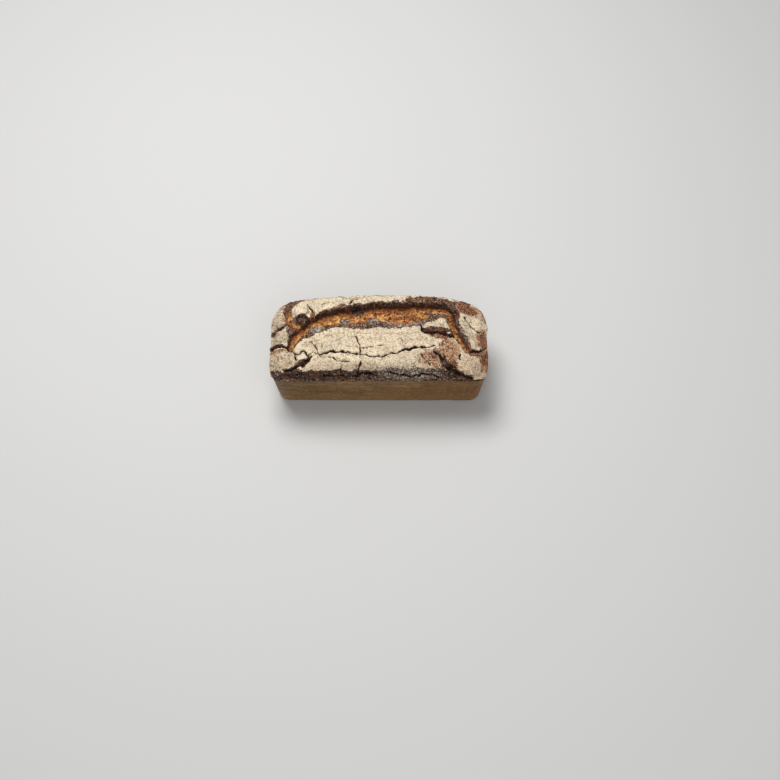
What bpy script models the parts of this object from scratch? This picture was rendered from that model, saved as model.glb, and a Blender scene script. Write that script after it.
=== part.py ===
"""A corn and spelt bread: one tin loaf, its floured crust torn open along the top.

Lengths here are in millimetres and are turned into metres when the mesh is made. X runs along the
loaf, Y across it to the back, Z up, with the origin at the middle of the flat base.

The top crust is laid out flat first, in a plan (u, v) that is a little larger than the tin's rim.
The plan's outer strip turns down as the shoulder until it meets the tin-baked wall, and the rift,
the cracks and the plates are relief that stands on or cuts into that turned surface.
"""
import math

import bmesh
import bpy
import numpy as np
from mathutils import Vector
from mathutils.geometry import delaunay_2d_cdt

MM = 0.001

# Tin-baked body
RIM_LENGTH = 246.0
RIM_WIDTH = 100.0
RIM_HEIGHT = 67.0
END_TAPER = 2.8         # how far each end wall leans in from rim to base
SIDE_TAPER = 5.8        # and each long wall
RIM_CORNER = 10.0       # radius of the upright corners at the rim
BASE_CORNER = 14.0      # and at the base
FOOT_RADIUS = 4.0       # rounding of the lower edge
WALL_RINGS = 7

# Risen top
SHOULDER_EXTRA = 10.0   # the flat plan stands out this far beyond the rim
SHOULDER_SPAN = 24.0    # width of the plan's strip that turns down
SHOULDER_BULGE = 6.0    # how strongly the crust swells out over the rim
FRONT_CORNER = 24.0     # blend of the plan's front corners
BACK_CORNER = 40.0      # the back corners are rounder
CROWN_END = 2.6         # height above the rim at the two ends
CROWN_FRONT = 16.0      # more height at mid-length, on the front side
CROWN_BACK = 25.0       # more height at mid-length, on the back side
CROWN_ARCH = 8.0
CROWN_POWER = 2.15
CROWN_SHIFT = -1.0      # the highest place lies hardly left of the middle
HALF_U = RIM_LENGTH / 2 + SHOULDER_EXTRA
HALF_V = RIM_WIDTH / 2 + SHOULDER_EXTRA

# The rift: route of its floor as (u, v, half width, depth). It runs from the left end up to the
# back, along the loaf and down again at the right end, so the main plate lies inside it.
RIFT = [
    (-101, -19, 1.5, 1.5), (-99, -12, 3.8, 4), (-95, -4, 4.6, 5), (-87, 3, 5, 5.5), (-73, 12, 6.5, 6.5),
    (-57, 16.5, 7.5, 7), (-42, 18, 8.5, 7.5), (-27, 18.5, 9, 8.5), (-8, 21.5, 10, 9), (12, 21.5, 11, 9),
    (34, 22, 11, 8.5), (52, 26, 9, 7.5), (68, 29.5, 5.5, 6.5), (79, 26, 4.5, 6), (84, 13, 3.5, 5),
    (90, -1, 3.2, 4.5), (96, -12, 3, 4), (104, -22, 1.5, 1.5),
]
# Its arm behind the left end, round the knob.
RIFT_ARM = [(-91, 8, 3, 4), (-99, 13, 4, 4), (-104, 23, 4, 3.5), (-105, 34, 3, 3), (-99, 46, 1.5, 1.5)]
RIFT_WALL = 3.0         # run of the steep outer wall
RIFT_SILL = 5.0         # run of the gentle inner edge
OUTER_LIP = 3.0
INNER_LIP = 1.2
LIP_LEAN = 1.8          # how far the outer lip leans over the floor

# Cracks: routes as (u, v, half width)
CRACKS = [
    # the long one, under the main plate
    [(-97, -21, 1), (-92, -25, 1.2), (-85, -21, 0.8), (-79, -27, 1), (-74, -24, 0.8), (-67, -27, 1.1),
     (-49, -25, 1.2), (-27, -28.5, 0.8), (-10, -31, 0.9), (4, -32, 1), (13, -29.5, 0.8),
     (22, -27, 1.3), (35, -23, 1.4), (50, -20, 1.2), (64, -17, 0.8)],
    # its neighbours on the left
    [(-96, -24, 0.7), (-92, -32, 0.8), (-84, -32, 0.8), (-78, -31, 0.7)],
    [(-77, -11, 0.5), (-69, -22, 0.9), (-65, -31, 0.8), (-55, -31, 0.6), (-47, -35, 0.8), (-33, -38, 0.6)],
    # the open tear at the left front
    [(-76, -29, 1.2), (-82, -35, 2.2), (-92, -40, 2.8), (-106, -42.5, 1.6)],
    # across the main plate
    [(-26, -8, 0.5), (-22, -18, 0.8), (-21, -32, 0.7), (-20, -40, 0.8), (-24, -48, 1)],
    [(-26, -22, 0.5), (-14, -22.5, 0.8), (-3, -20, 0.6), (8, -20.5, 0.4)],
    [(-43, -44, 0.7), (-43, -50, 0.8)],
    # the dark diagonal at the right front
    [(63, -24, 1), (72, -32, 2.4), (79, -41, 4), (90, -46.5, 4.2), (104, -50.5, 2)],
    [(46, -27, 0.5), (53, -35, 0.7), (59, -40, 0.5)],
    [(69, -14, 0.5), (69, -25, 0.7)],
    [(92, -24, 0.6), (92, -31, 0.7)],
    # under the small plate beside the rift
    [(47, 6, 0.9), (51, -0.5, 1.6), (63, -1, 1.5), (76, -0.5, 1.8), (86, -4, 1.1)],
    # in the right end
    [(98, 23, 0.9), (104, 15, 1), (112, 8, 0.8), (122, 5, 0.6)],
    [(114, 21, 0.6), (121, 16, 0.8)],
    [(104, -20, 1.2), (115, -17, 1.2), (126, -8, 0.8)],
    # in the left end
    [(-126, 6, 2), (-116, 9.5, 1.8), (-104, 15, 1)],
    [(-127, -13, 2), (-115, -12, 1.8), (-102, -17, 1.2)],
    # in the strip behind the rift
    [(-34, 33, 0.8), (-29, 38, 1), (-21, 41, 0.7), (-12, 46, 0.6)],
    [(-66, 34, 0.6), (-55, 36.5, 0.8), (-45, 39, 0.5)],
    [(-83, 38, 0.6), (-79, 33, 1.1), (-76, 26, 1.4)],
    [(28, 37, 0.6), (38, 44, 0.9), (42, 53, 0.7)],
    # low on the front shoulder
    [(12, -47, 0.8), (24, -49, 1.1), (38, -52, 0.9)],
    [(40, -50, 0.8), (50, -48, 1.1), (62, -48.5, 1), (71, -53, 0.9)],
    [(-62, -49, 0.8), (-45, -51, 1.1), (-30, -50, 0.9), (-13, -48.5, 1.2), (0, -52, 0.8)],
]
CRACK_WIDEN = 1.25      # the crust's edges draw back a little from each route
CRACK_DEPTH = 2.4       # depth of a crack for each millimetre of its half width
CRACK_CURL = 0.6        # height of its curled edges
CURL_SPAN = 2.4

# Raised plates and lumps: (u, v, half length, half width, turn in degrees, height, edge run)
PLATES = [
    (-89, 28, 9, 9, 10, 6.5, 0.3),     # knob
    (67, 9.5, 19, 9.5, -3, 3.6, 0.4),  # plate beside the rift
    (-21, 27, 7, 6, 0, 3.0, 0.6),      # lump on the back lip
    (101, 2, 7, 24, 20, 2.0, 0.3),     # long plate right of the rift
    (118, 13, 11, 10, 0, 1.4, 0.3),
    (-113, 20, 10, 12, -8, 1.0, 0.3),
    (-110, 0, 9, 8, 12, 1.6, 0.3),
    (-110, -25, 16, 13, 0, 1.4, 0.25),
    (103, -34, 17, 13, -12, 1.6, 0.25),
]

# The torn band between the floured top and the tin-baked wall, by depth in from the plan's edge
TEAR_LOW = 3.0
TEAR_HIGH = 14.5
TEAR_WAVER = 1.6        # how far its edges wander
TEAR_RISE = 2.0         # so much higher it reaches along the front, between the next two
RISE_LEFT = 2.0
RISE_RIGHT = 84.0
RISE_RUN = 12.0
TEAR_LEFT = 106.0       # beyond these it fades out towards the ends
TEAR_RIGHT = 102.0
TEAR_FRONT = -46.0      # but not on the left front corner, in front of this
TEAR_FADE = 9.0
TEAR_LOSS = 0.9         # share of it that is gone at the ends
TEAR_DEPTH = 1.8

# Facets
LINE_STEP = 2.4
FILL_STEP = 3.9
RING_STEP = 3.9
RING_DEPTHS = [2.5, 5.5, 8.5, 11.5, 14.5, 18.5, 23.0]
CLOSEST = 0.62          # points nearer than this to an earlier one are left out


def smooth(x):
    """An even S from 0 to 1."""
    x = np.clip(x, 0, 1)
    return x * x * (3 - 2 * x)


def rumple(u, v, size, seed):
    """Smooth random bumps from -1 to 1, about `size` apart."""
    cells = 128
    lattice = np.random.default_rng(seed).uniform(-1, 1, (cells, cells))
    x = u / size + cells / 2
    y = v / size + cells / 2
    i = np.floor(x).astype(int)
    j = np.floor(y).astype(int)
    fx = smooth(x - i)
    fy = smooth(y - j)
    i0, i1, j0, j1 = i % cells, (i + 1) % cells, j % cells, (j + 1) % cells
    low = lattice[i0, j0] * (1 - fx) + lattice[i1, j0] * fx
    high = lattice[i0, j1] * (1 - fx) + lattice[i1, j1] * fx
    return low * (1 - fy) + high * fy


def edge_depth(u, v):
    """Distance in from the plan's outline, a rectangle with blended corners."""
    a = HALF_U - np.abs(u)
    b = HALF_V - np.abs(v)
    corner = FRONT_CORNER + (BACK_CORNER - FRONT_CORNER) * smooth(v / HALF_V + 0.5)
    blend = np.clip(corner - np.abs(a - b), 0, None) / corner
    return np.minimum(a, b) - blend * blend * corner / 4


def outward(u, v):
    """Unit direction in the plan that leads straight out over the edge."""
    e = 0.01
    gu = edge_depth(u - e, v) - edge_depth(u + e, v)
    gv = edge_depth(u, v - e) - edge_depth(u, v + e)
    length = np.hypot(gu, gv) + 1e-9
    return gu / length, gv / length


def crown(u, v):
    """Height of the risen top above the rim, without its relief."""
    along = np.clip(1 - np.abs((u - CROWN_SHIFT) / HALF_U) ** CROWN_POWER, 0, 1)
    back_share = np.clip((v / HALF_V + 1) / 2, 0, 1)
    across = np.clip(1 - (v / HALF_V) ** 2, 0, 1)
    swell = CROWN_FRONT + (CROWN_BACK - CROWN_FRONT) * back_share + CROWN_ARCH * across
    return CROWN_END + swell * along


def base_surface(u, v):
    """The risen top without relief: its points and the directions it faces."""
    depth = edge_depth(u, v)
    turn = np.clip(depth / SHOULDER_SPAN, 0, 1)
    angle = turn * math.pi / 2
    nu, nv = outward(u, v)
    run = (SHOULDER_SPAN - SHOULDER_EXTRA) * (1 - np.cos(angle))
    run = run - SHOULDER_BULGE * np.sin(math.pi * turn) * (1 - turn)
    shift = np.where(depth < SHOULDER_SPAN, depth - SHOULDER_EXTRA - run, 0.0)
    point = np.stack([u + nu * shift, v + nv * shift, RIM_HEIGHT + crown(u, v) * np.sin(angle)], -1)
    facing = np.stack([nu * np.cos(angle), nv * np.cos(angle), np.sin(angle)], -1)
    return point, facing


def densify(route, step):
    """A smooth, slightly ragged line through a route's points, as rows of numbers."""
    route = np.array(route, float)
    padded = np.vstack([2 * route[0] - route[1], route, 2 * route[-1] - route[-2]])
    rows = []
    for k in range(1, len(padded) - 2):
        p0, p1, p2, p3 = padded[k - 1:k + 3]
        count = max(1, round(math.dist(p1[:2], p2[:2]) / step))
        for t in np.arange(count) / count:
            rows.append(0.5 * (2 * p1 + (p2 - p0) * t + (2 * p0 - 5 * p1 + 4 * p2 - p3) * t * t
                               + (3 * p1 - p0 - 3 * p2 + p3) * t ** 3))
    rows.append(route[-1])
    rows = np.array(rows)
    inner = slice(1, -1)
    rows[inner, 0] += 0.9 * rumple(rows[inner, 0], rows[inner, 1], 5.0, 11)
    rows[inner, 1] += 0.9 * rumple(rows[inner, 0], rows[inner, 1], 5.0, 12)
    return rows


def nearest(line, u, v):
    """For each (u, v): signed distance to the line, positive on its left, and the line's values there."""
    best = np.full(u.shape, 1e9)
    side = np.zeros(u.shape)
    values = np.zeros(u.shape + (line.shape[1] - 2,))
    for a, b in zip(line[:-1], line[1:]):
        du, dv = b[:2] - a[:2]
        t = np.clip(((u - a[0]) * du + (v - a[1]) * dv) / (du * du + dv * dv), 0, 1)
        away_u = u - a[0] - t * du
        away_v = v - a[1] - t * dv
        distance = np.hypot(away_u, away_v)
        closer = distance < best
        best = np.where(closer, distance, best)
        side = np.where(closer, np.sign(du * away_v - dv * away_u), side)
        here = a[2:] + t[..., None] * (b[2:] - a[2:])
        values = np.where(closer[..., None], here, values)
    return best * np.where(side < 0, -1, 1), values


def rift_profile(line, u, v):
    """Relief of a rift: a floor that deepens outwards, a steep outer wall, a gentle inner edge."""
    s, values = nearest(line, u, v)
    half, depth = values[..., 0], values[..., 1]
    beyond = np.abs(s) - half
    across = np.clip((s + half) / (2 * half), 0, 1)
    floor = -depth * (0.3 + 0.7 * smooth(across))
    strength = np.clip(depth / 5, 0, 1)
    outer = floor + (depth + OUTER_LIP * strength) * smooth(beyond / RIFT_WALL)
    outer = np.where(beyond > RIFT_WALL, OUTER_LIP * strength * np.exp(-((beyond - RIFT_WALL) / 11) ** 2), outer)
    inner = floor + (0.3 * depth + INNER_LIP * strength) * smooth(beyond / RIFT_SILL)
    inner = np.where(beyond > RIFT_SILL, INNER_LIP * strength * np.exp(-((beyond - RIFT_SILL) / 8) ** 2), inner)
    return np.where(beyond <= 0, floor, np.where(s > 0, outer, inner))


def crack_profile(line, u, v):
    """Relief of a crack: a round-bottomed cut between two slightly curled edges."""
    s, values = nearest(line, u, v)
    half = values[..., 0]
    ratio = np.abs(s) / half
    cut = -CRACK_DEPTH * half * np.clip(1 - ratio * ratio, 0, 1)
    curl = CRACK_CURL * np.clip(half, 0, 1.2) * np.exp(-((np.abs(s) - half) / CURL_SPAN) ** 2)
    return np.where(ratio < 1, cut, curl * smooth(ratio - 1))


def plate_profile(plate, u, v):
    """Relief of a raised plate with a steep edge and a nearly flat top."""
    pu, pv, length, width, turn, height, run = plate
    c, s = math.cos(math.radians(turn)), math.sin(math.radians(turn))
    x = ((u - pu) * c + (v - pv) * s) / length
    y = ((v - pv) * c - (u - pu) * s) / width
    inside = 1 - (np.abs(x) ** 2.6 + np.abs(y) ** 2.6) ** (1 / 2.6)
    return height * smooth(inside / run) * (0.8 + 0.2 * np.clip(inside, 0, 1))


def tear_top(u, v):
    """Depth in from the plan's edge up to which the shoulder is torn."""
    risen = smooth((u - RISE_LEFT) / RISE_RUN) * smooth((RISE_RIGHT - u) / RISE_RUN) * smooth(-v / 20)
    return TEAR_HIGH + TEAR_RISE * risen


def tear_band(u, v):
    """How far a place lies in the torn band of the shoulder, from 0 to 1: weak at both ends."""
    depth = edge_depth(u, v) + TEAR_WAVER * rumple(u, v, 16.0, 21)
    left_end = smooth((-u - TEAR_LEFT) / TEAR_FADE) * smooth((v - TEAR_FRONT) / TEAR_FADE)
    right_end = smooth((u - TEAR_RIGHT) / TEAR_FADE)
    share = 1 - TEAR_LOSS * np.maximum(left_end, right_end)
    return smooth((depth - TEAR_LOW) / 3) * smooth((tear_top(u, v) - depth) / 2.2) * share


def relief(lines, u, v):
    """Height of everything that stands on or cuts into the risen top."""
    rifts, cracks = lines
    profiles = [rift_profile(line, u, v) for line in rifts] + [crack_profile(line, u, v) for line in cracks]
    cut = np.zeros(u.shape)
    raised = np.zeros(u.shape)
    uncut = np.ones(u.shape)
    for height in profiles:
        cut = np.minimum(cut, height)
        raised = np.maximum(raised, height)
        uncut *= 1 - np.clip(-height, 0, 1)
    plates = np.zeros(u.shape)
    for plate in PLATES:
        plates = np.maximum(plates, plate_profile(plate, u, v))
    rough = 0.7 * rumple(u, v, 21.0, 31) + 0.45 * rumple(u, v, 9.0, 32)
    rough += 0.9 * rumple(u, v, 5.5, 33) * np.clip(-cut / 4, 0, 1)
    tear = tear_band(u, v)
    torn = TEAR_DEPTH * tear * (1 + 0.5 * rumple(u, v, 6.0, 34))
    ledge = 0.9 * np.exp(-((edge_depth(u, v) - TEAR_HIGH - 2.5) / 2.5) ** 2)
    height = cut + raised * uncut + plates * uncut + rough - torn + ledge * uncut
    return height * smooth(edge_depth(u, v) / 4)


def lean(lines, u, v):
    """Sideways push, in the plan, of the rift's outer lip over its floor."""
    push_u = np.zeros(u.shape)
    push_v = np.zeros(u.shape)
    e = 0.5
    for line in lines[0]:
        s, values = nearest(line, u, v)
        beyond = s - values[..., 0]
        amount = LIP_LEAN * np.clip(values[..., 1] / 6, 0, 1) * np.exp(-((beyond - RIFT_WALL) / 2.6) ** 2)
        ahead_u = nearest(line, u + e, v)[0] - nearest(line, u - e, v)[0]
        ahead_v = nearest(line, u, v + e)[0] - nearest(line, u, v - e)[0]
        length = np.hypot(ahead_u, ahead_v) + 1e-9
        known = length < 4 * e
        push_u -= np.where(known, amount * ahead_u / length, 0)
        push_v -= np.where(known, amount * ahead_v / length, 0)
    return push_u, push_v


def top_surface(lines, u, v):
    """The finished top: the risen surface with its relief and leaning lips."""
    point, facing = base_surface(u, v)
    push_u, push_v = lean(lines, u, v)
    point = point + facing * relief(lines, u, v)[..., None]
    point[..., 0] += push_u
    point[..., 1] += push_v
    return point


def outline(depth, step):
    """Points in the plan along the line that lies `depth` in from its edge."""
    count = int(2 * math.pi * HALF_U)
    angle = np.arange(count) / count * 2 * math.pi
    c, s = np.cos(angle), np.sin(angle)
    low = np.zeros(count)
    high = np.full(count, HALF_U + HALF_V)
    for _ in range(40):
        middle = (low + high) / 2
        inside = edge_depth(middle * c, middle * s) > depth
        low = np.where(inside, middle, low)
        high = np.where(inside, high, middle)
    ring = np.stack([low * c, low * s], -1)
    gaps = np.linalg.norm(np.roll(ring, -1, axis=0) - ring, axis=1)
    travelled = np.concatenate([[0], np.cumsum(gaps)])
    closed = np.vstack([ring, ring[:1]])
    places = np.arange(round(travelled[-1] / step)) / round(travelled[-1] / step) * travelled[-1]
    return np.stack([np.interp(places, travelled, closed[:, k]) for k in (0, 1)], -1)


def beside(line, offsets):
    """Rows of points that run along a line, each at its own distance to the line's left."""
    along = np.gradient(line[:, :2], axis=0)
    along /= np.linalg.norm(along, axis=1, keepdims=True)
    left = np.stack([-along[:, 1], along[:, 0]], -1)
    return [line[:, :2] + left * offset for offset in offsets]


def plan_points(lines):
    """Corners of the top's facets: the rim, the lines of the relief, the shoulder's rings, the rest."""
    rim = outline(0.0, RING_STEP)
    wanted = []
    for line in lines[1]:
        half = line[:, 2:3]
        wanted += beside(line, [0 * half, half, -half])
    for line in lines[0]:
        half = line[:, 2:3]
        outer = [half, half + RIFT_WALL / 2, half + RIFT_WALL, half + RIFT_WALL + 3]
        wanted += beside(line, outer + [0 * half, -half, -half - RIFT_SILL])
    wanted += [outline(depth, RING_STEP) for depth in RING_DEPTHS]
    fill = []
    for row, v in enumerate(np.arange(-HALF_V, HALF_V, FILL_STEP * math.sqrt(3) / 2)):
        for u in np.arange(-HALF_U, HALF_U, FILL_STEP) + (row % 2) * FILL_STEP / 2:
            fill.append((u, v))
    groups = [(rim, 0.0)] + [(group, CLOSEST) for group in wanted] + [(np.array(fill), 0.62 * FILL_STEP)]
    return spread(groups)


def spread(groups):
    """Joins groups of points, dropping each that is outside or too near an earlier one."""
    cell = 4.0
    kept = []
    buckets = {}
    for group, closest in groups:
        inside = edge_depth(group[:, 0], group[:, 1]) > 0.8
        for (u, v), fits in zip(group, inside):
            if closest and not fits:
                continue
            i, j = int(u // cell), int(v // cell)
            near = [p for a in (i - 1, i, i + 1) for b in (j - 1, j, j + 1) for p in buckets.get((a, b), [])]
            if all(math.dist(p, (u, v)) >= closest for p in near):
                buckets.setdefault((i, j), []).append((u, v))
                kept.append((u, v))
    return kept


def wall_ring(rim_points, facing, height):
    """The rim's outline moved in to the wall at a height above the base."""
    drop = 1 - height / RIM_HEIGHT
    radius = RIM_CORNER + (BASE_CORNER - RIM_CORNER) * drop
    half = np.array([RIM_LENGTH / 2, RIM_WIDTH / 2, RIM_HEIGHT])
    taper = np.array([END_TAPER, SIDE_TAPER, 0])
    shrink = (half - taper * drop - radius) / (half - RIM_CORNER)
    low = max(0.0, FOOT_RADIUS - height)
    foot = FOOT_RADIUS - math.sqrt(FOOT_RADIUS ** 2 - low ** 2)
    ring = (rim_points - facing * RIM_CORNER) * shrink + facing * (radius - foot)
    ring[:, 2] = height
    return ring


def loaf_mesh():
    """One closed mesh: torn top, tin-baked wall and flat base."""
    rifts = [densify(route, LINE_STEP) for route in (RIFT, RIFT_ARM)]
    cracks = [densify(route, LINE_STEP) for route in CRACKS]
    for line in cracks:
        line[:, 2] *= CRACK_WIDEN
    lines = (rifts, cracks)
    plan = plan_points(lines)
    corners, _, faces = delaunay_2d_cdt([Vector(p) for p in plan], [], [], 0, 1e-4)[:3]
    u, v = np.array([p[:] for p in corners]).T
    points = top_surface(lines, u, v)
    rim_count = len(outline(0.0, RING_STEP))
    bm = bmesh.new()
    verts = [bm.verts.new(p * MM) for p in points]
    for face in faces:
        bm.faces.new([verts[k] for k in face])
    upper = verts[:rim_count]
    nu, nv = outward(u[:rim_count], v[:rim_count])
    facing = np.stack([nu, nv, np.zeros(rim_count)], -1)
    share = np.linspace(0, 1, WALL_RINGS + 1)[1:]
    heights = list(RIM_HEIGHT * (1 - share[:-1])) + [FOOT_RADIUS * k for k in (0.5, 0.15, 0)]
    for height in heights:
        lower = [bm.verts.new(p * MM) for p in wall_ring(points[:rim_count], facing, height)]
        for k in range(rim_count):
            after = (k + 1) % rim_count
            bm.faces.new([upper[k], lower[k], lower[after], upper[after]])
        upper = lower
    bm.faces.new(upper)
    bmesh.ops.recalc_face_normals(bm, faces=bm.faces)
    bmesh.ops.triangulate(bm, faces=bm.faces)
    return bm


def crust_material():
    material = bpy.data.materials.new("floured_crust")
    material.use_nodes = True
    shader = material.node_tree.nodes["Principled BSDF"]
    shader.inputs["Base Color"].default_value = (0.62, 0.48, 0.30, 1)
    shader.inputs["Roughness"].default_value = 0.85
    shader.inputs["Metallic"].default_value = 0.0
    return material


def build_loaf():
    mesh = bpy.data.meshes.new("loaf")
    bm = loaf_mesh()
    bm.to_mesh(mesh)
    bm.free()
    mesh.shade_smooth()
    mesh.set_sharp_from_angle(angle=math.radians(40))
    mesh.materials.append(crust_material())
    loaf = bpy.data.objects.new("loaf", mesh)
    bpy.context.scene.collection.objects.link(loaf)
    return loaf


for old in list(bpy.data.objects):
    bpy.data.objects.remove(old)
build_loaf()
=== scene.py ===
"""The looks of a corn and spelt bread: a floured tin loaf, its crust torn open along the top.

The loaf's form is worked out in millimetres with the same plan, route and relief values as its solid,
on a much finer mesh, and is turned into metres when the mesh is made. X runs along the loaf, Y to the
back, Z up. The flat plan (u, v) is a little larger than the rim, and its outer strip turns down.
"""
import math

import bmesh
import bpy
import numpy as np
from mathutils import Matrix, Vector, kdtree
from mathutils.geometry import delaunay_2d_cdt


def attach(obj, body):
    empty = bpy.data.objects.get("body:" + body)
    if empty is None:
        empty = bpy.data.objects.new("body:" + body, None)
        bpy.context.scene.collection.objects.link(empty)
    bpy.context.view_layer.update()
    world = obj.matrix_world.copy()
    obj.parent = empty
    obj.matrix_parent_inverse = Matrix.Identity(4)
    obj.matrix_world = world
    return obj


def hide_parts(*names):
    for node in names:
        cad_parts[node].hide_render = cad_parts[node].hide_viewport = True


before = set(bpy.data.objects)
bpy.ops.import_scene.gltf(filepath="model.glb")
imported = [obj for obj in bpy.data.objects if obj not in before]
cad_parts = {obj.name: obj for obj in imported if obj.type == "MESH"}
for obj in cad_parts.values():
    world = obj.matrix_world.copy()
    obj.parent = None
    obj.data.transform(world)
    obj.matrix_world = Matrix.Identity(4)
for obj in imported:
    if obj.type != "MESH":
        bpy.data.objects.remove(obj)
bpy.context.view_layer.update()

MM = 0.001

# Camera: a 50 mm lens on a 36 mm square sensor looks down at the loaf
LENS = 50.0
SENSOR = 36.0
IMAGE_SIZE = 780
VIEW_ELEVATION = 62.0  # degrees, at the loaf
VIEW_DISTANCE = 1.26  # metres
VIEW_TARGET = (0.0, 0.0, 0.060)
TARGET_PIXEL = (379.0, 344.8)  # where the target lies in the image

# Tin-baked body
RIM_LENGTH = 246.0
RIM_WIDTH = 100.0
RIM_HEIGHT = 67.0
END_TAPER = 2.8  # how far each end wall leans in from rim to base
SIDE_TAPER = 5.8  # and each long wall
RIM_CORNER = 10.0  # radius of the upright corners at the rim
BASE_CORNER = 14.0  # and at the base
FOOT_RADIUS = 4.0  # rounding of the lower edge

# Risen top
SHOULDER_EXTRA = 10.0  # the flat plan stands out this far beyond the rim
SHOULDER_SPAN = 24.0  # width of the plan's strip that turns down
SHOULDER_BULGE = 6.0  # how strongly the crust swells out over the rim
FRONT_CORNER = 24.0  # blend of the plan's front corners
BACK_CORNER = 40.0  # the back corners are rounder
CROWN_END = 2.6  # height above the rim at the two ends
CROWN_FRONT = 16.0  # more height at mid-length, on the front side
CROWN_BACK = 25.0  # more height at mid-length, on the back side
CROWN_ARCH = 8.0
CROWN_POWER = 2.15
CROWN_SHIFT = -1.0  # the highest place lies hardly left of the middle
HALF_U = RIM_LENGTH / 2 + SHOULDER_EXTRA
HALF_V = RIM_WIDTH / 2 + SHOULDER_EXTRA
RELIEF_RUN = 4.0  # the relief fades out over this strip along the plan's edge

# The rift: (u, v, half width, depth, width of the dark inner edge, width of the dark outer edge). It runs
# from the left end up to the back, along the loaf and down again at the right end.
RIFT = [
    (-101, -19, 1.5, 1.5, 2, 2), (-99, -12, 3.8, 4, 3, 4), (-95, -4, 4.6, 5, 4, 6),
    (-87, 3, 5, 5.5, 6, 5), (-73, 12, 6.5, 6.5, 7, 4.5), (-57, 16.5, 7.5, 7, 7, 4.5),
    (-42, 18, 8.5, 7.5, 7, 5.5), (-27, 18.5, 9, 8.5, 9, 5), (-8, 21.5, 10, 9, 11, 4),
    (12, 21.5, 11, 9, 9, 4), (34, 22, 11, 8.5, 8, 5.5), (52, 26, 9, 7.5, 9, 8.5),
    (68, 29.5, 5.5, 6.5, 9, 9), (79, 26, 4.5, 6, 5, 9), (84, 13, 3.5, 5, 1.5, 6),
    (90, -1, 3.2, 4.5, 1.5, 6), (96, -12, 3, 4, 1.5, 6), (104, -22, 1.5, 1.5, 1, 4),
]
# Its arm behind the left end, round the knob
RIFT_ARM = [
    (-91, 8, 3, 4, 4, 1), (-99, 13, 4, 4, 4, 1), (-104, 23, 4, 3.5, 2, 1), (-105, 34, 3, 3, 1, 2),
    (-99, 46, 1.5, 1.5, 1, 3),
]
RIFT_WALL = 3.0  # run of the steep outer wall
RIFT_SILL = 5.0  # run of the gentle inner edge
RIFT_SHALLOW = 0.3  # share of the depth that the floor has at its inner side
FULL_DEPTH = 5.0  # depth from which the lips have their full height
OUTER_LIP = 3.0
OUTER_FADE = 11.0  # how far the outer lip runs out over the crust
INNER_LIP = 1.2
INNER_FADE = 8.0
LIP_LEAN = 1.8  # how far the outer lip leans over the floor
LEAN_DEPTH = 6.0  # depth from which it leans that far
LEAN_SPAN = 2.6
ROUGH_DEPTH = 4.0  # depth from which the floor is fully rough

# Cracks: routes as (u, v, half width)
CRACKS = [
    # the long one, under the main plate
    [(-97, -21, 1), (-92, -25, 1.2), (-85, -21, 0.8), (-79, -27, 1), (-74, -24, 0.8), (-67, -27, 1.1),
     (-49, -25, 1.2), (-27, -28.5, 0.8), (-10, -31, 0.9), (4, -32, 1), (13, -29.5, 0.8),
     (22, -27, 1.3), (35, -23, 1.4), (50, -20, 1.2), (64, -17, 0.8)],
    # its neighbours on the left
    [(-96, -24, 0.7), (-92, -32, 0.8), (-84, -32, 0.8), (-78, -31, 0.7)],
    [(-77, -11, 0.5), (-69, -22, 0.9), (-65, -31, 0.8), (-55, -31, 0.6), (-47, -35, 0.8), (-33, -38, 0.6)],
    # the open tear at the left front
    [(-76, -29, 1.2), (-82, -35, 2.2), (-92, -40, 2.8), (-106, -42.5, 1.6)],
    # across the main plate
    [(-26, -8, 0.5), (-22, -18, 0.8), (-21, -32, 0.7), (-20, -40, 0.8), (-24, -48, 1)],
    [(-26, -22, 0.5), (-14, -22.5, 0.8), (-3, -20, 0.6), (8, -20.5, 0.4)],
    [(-43, -44, 0.7), (-43, -50, 0.8)],
    # the dark diagonal at the right front
    [(63, -24, 1), (72, -32, 2.4), (79, -41, 4), (90, -46.5, 4.2), (104, -50.5, 2)],
    [(46, -27, 0.5), (53, -35, 0.7), (59, -40, 0.5)],
    [(69, -14, 0.5), (69, -25, 0.7)],
    [(92, -24, 0.6), (92, -31, 0.7)],
    # under the small plate beside the rift
    [(47, 6, 0.9), (51, -0.5, 1.6), (63, -1, 1.5), (76, -0.5, 1.8), (86, -4, 1.1)],
    # in the right end
    [(98, 23, 0.9), (104, 15, 1), (112, 8, 0.8), (122, 5, 0.6)],
    [(114, 21, 0.6), (121, 16, 0.8)],
    [(104, -20, 1.2), (115, -17, 1.2), (126, -8, 0.8)],
    # in the left end
    [(-126, 6, 2), (-116, 9.5, 1.8), (-104, 15, 1)],
    [(-127, -13, 2), (-115, -12, 1.8), (-102, -17, 1.2)],
    # in the strip behind the rift
    [(-34, 33, 0.8), (-29, 38, 1), (-21, 41, 0.7), (-12, 46, 0.6)],
    [(-66, 34, 0.6), (-55, 36.5, 0.8), (-45, 39, 0.5)],
    [(-83, 38, 0.6), (-79, 33, 1.1), (-76, 26, 1.4)],
    [(28, 37, 0.6), (38, 44, 0.9), (42, 53, 0.7)],
    # low on the front shoulder
    [(12, -47, 0.8), (24, -49, 1.1), (38, -52, 0.9)],
    [(40, -50, 0.8), (50, -48, 1.1), (62, -48.5, 1), (71, -53, 0.9)],
    [(-62, -49, 0.8), (-45, -51, 1.1), (-30, -50, 0.9), (-13, -48.5, 1.2), (0, -52, 0.8)],
]
CRACK_WIDEN = 1.25  # the crust's edges draw back a little from each route
CRACK_DEPTH = 2.4  # depth of a crack for each millimetre of its half width
CRACK_CURL = 0.6  # height of its curled edges
CURL_SPAN = 2.4
FULL_CURL = 1.2  # half width from which the edges curl fully
OPEN_TEAR = 2.0  # cracks wider than this to each side show bare crust inside
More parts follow.
